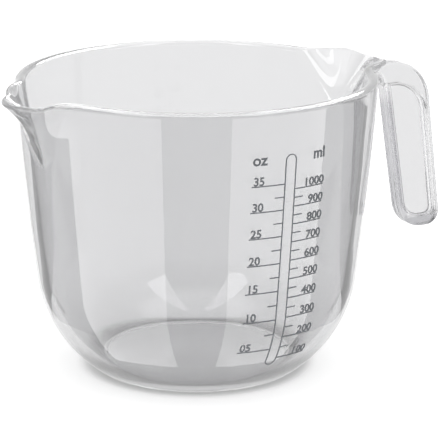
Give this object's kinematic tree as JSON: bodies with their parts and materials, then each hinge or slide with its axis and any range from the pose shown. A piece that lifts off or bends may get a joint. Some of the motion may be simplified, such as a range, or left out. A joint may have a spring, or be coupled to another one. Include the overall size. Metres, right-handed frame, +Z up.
{
  "type": "measuring jug",
  "caption": "Clear moulded measuring jug with a rounded bowl, a V-shaped pouring spout, an open hooked handle and a printed volume scale in fluid ounces and millilitres.",
  "frame": {"origin": "centre of the foot ring, on the bowl's axis, at the height of the table", "axes": "+X from the bowl's axis towards the handle, so the spout is on -X; -Y towards the printed scale; +Z up"},
  "size_m": [0.2084, 0.148, 0.1225],
  "materials": {
    "clear_plastic": "polished, clear",
    "ink": "screen printed, matt"
  },
  "bodies": {
    "root": {"bowl": "clear_plastic", "floor": "clear_plastic", "spout": "clear_plastic", "handle_root": "clear_plastic", "handle_rim": "clear_plastic", "handle_web": "clear_plastic", "scale_column": "ink", "ounce_marks": "ink", "millilitre_marks": "ink"}
  },
  "joints": []
}
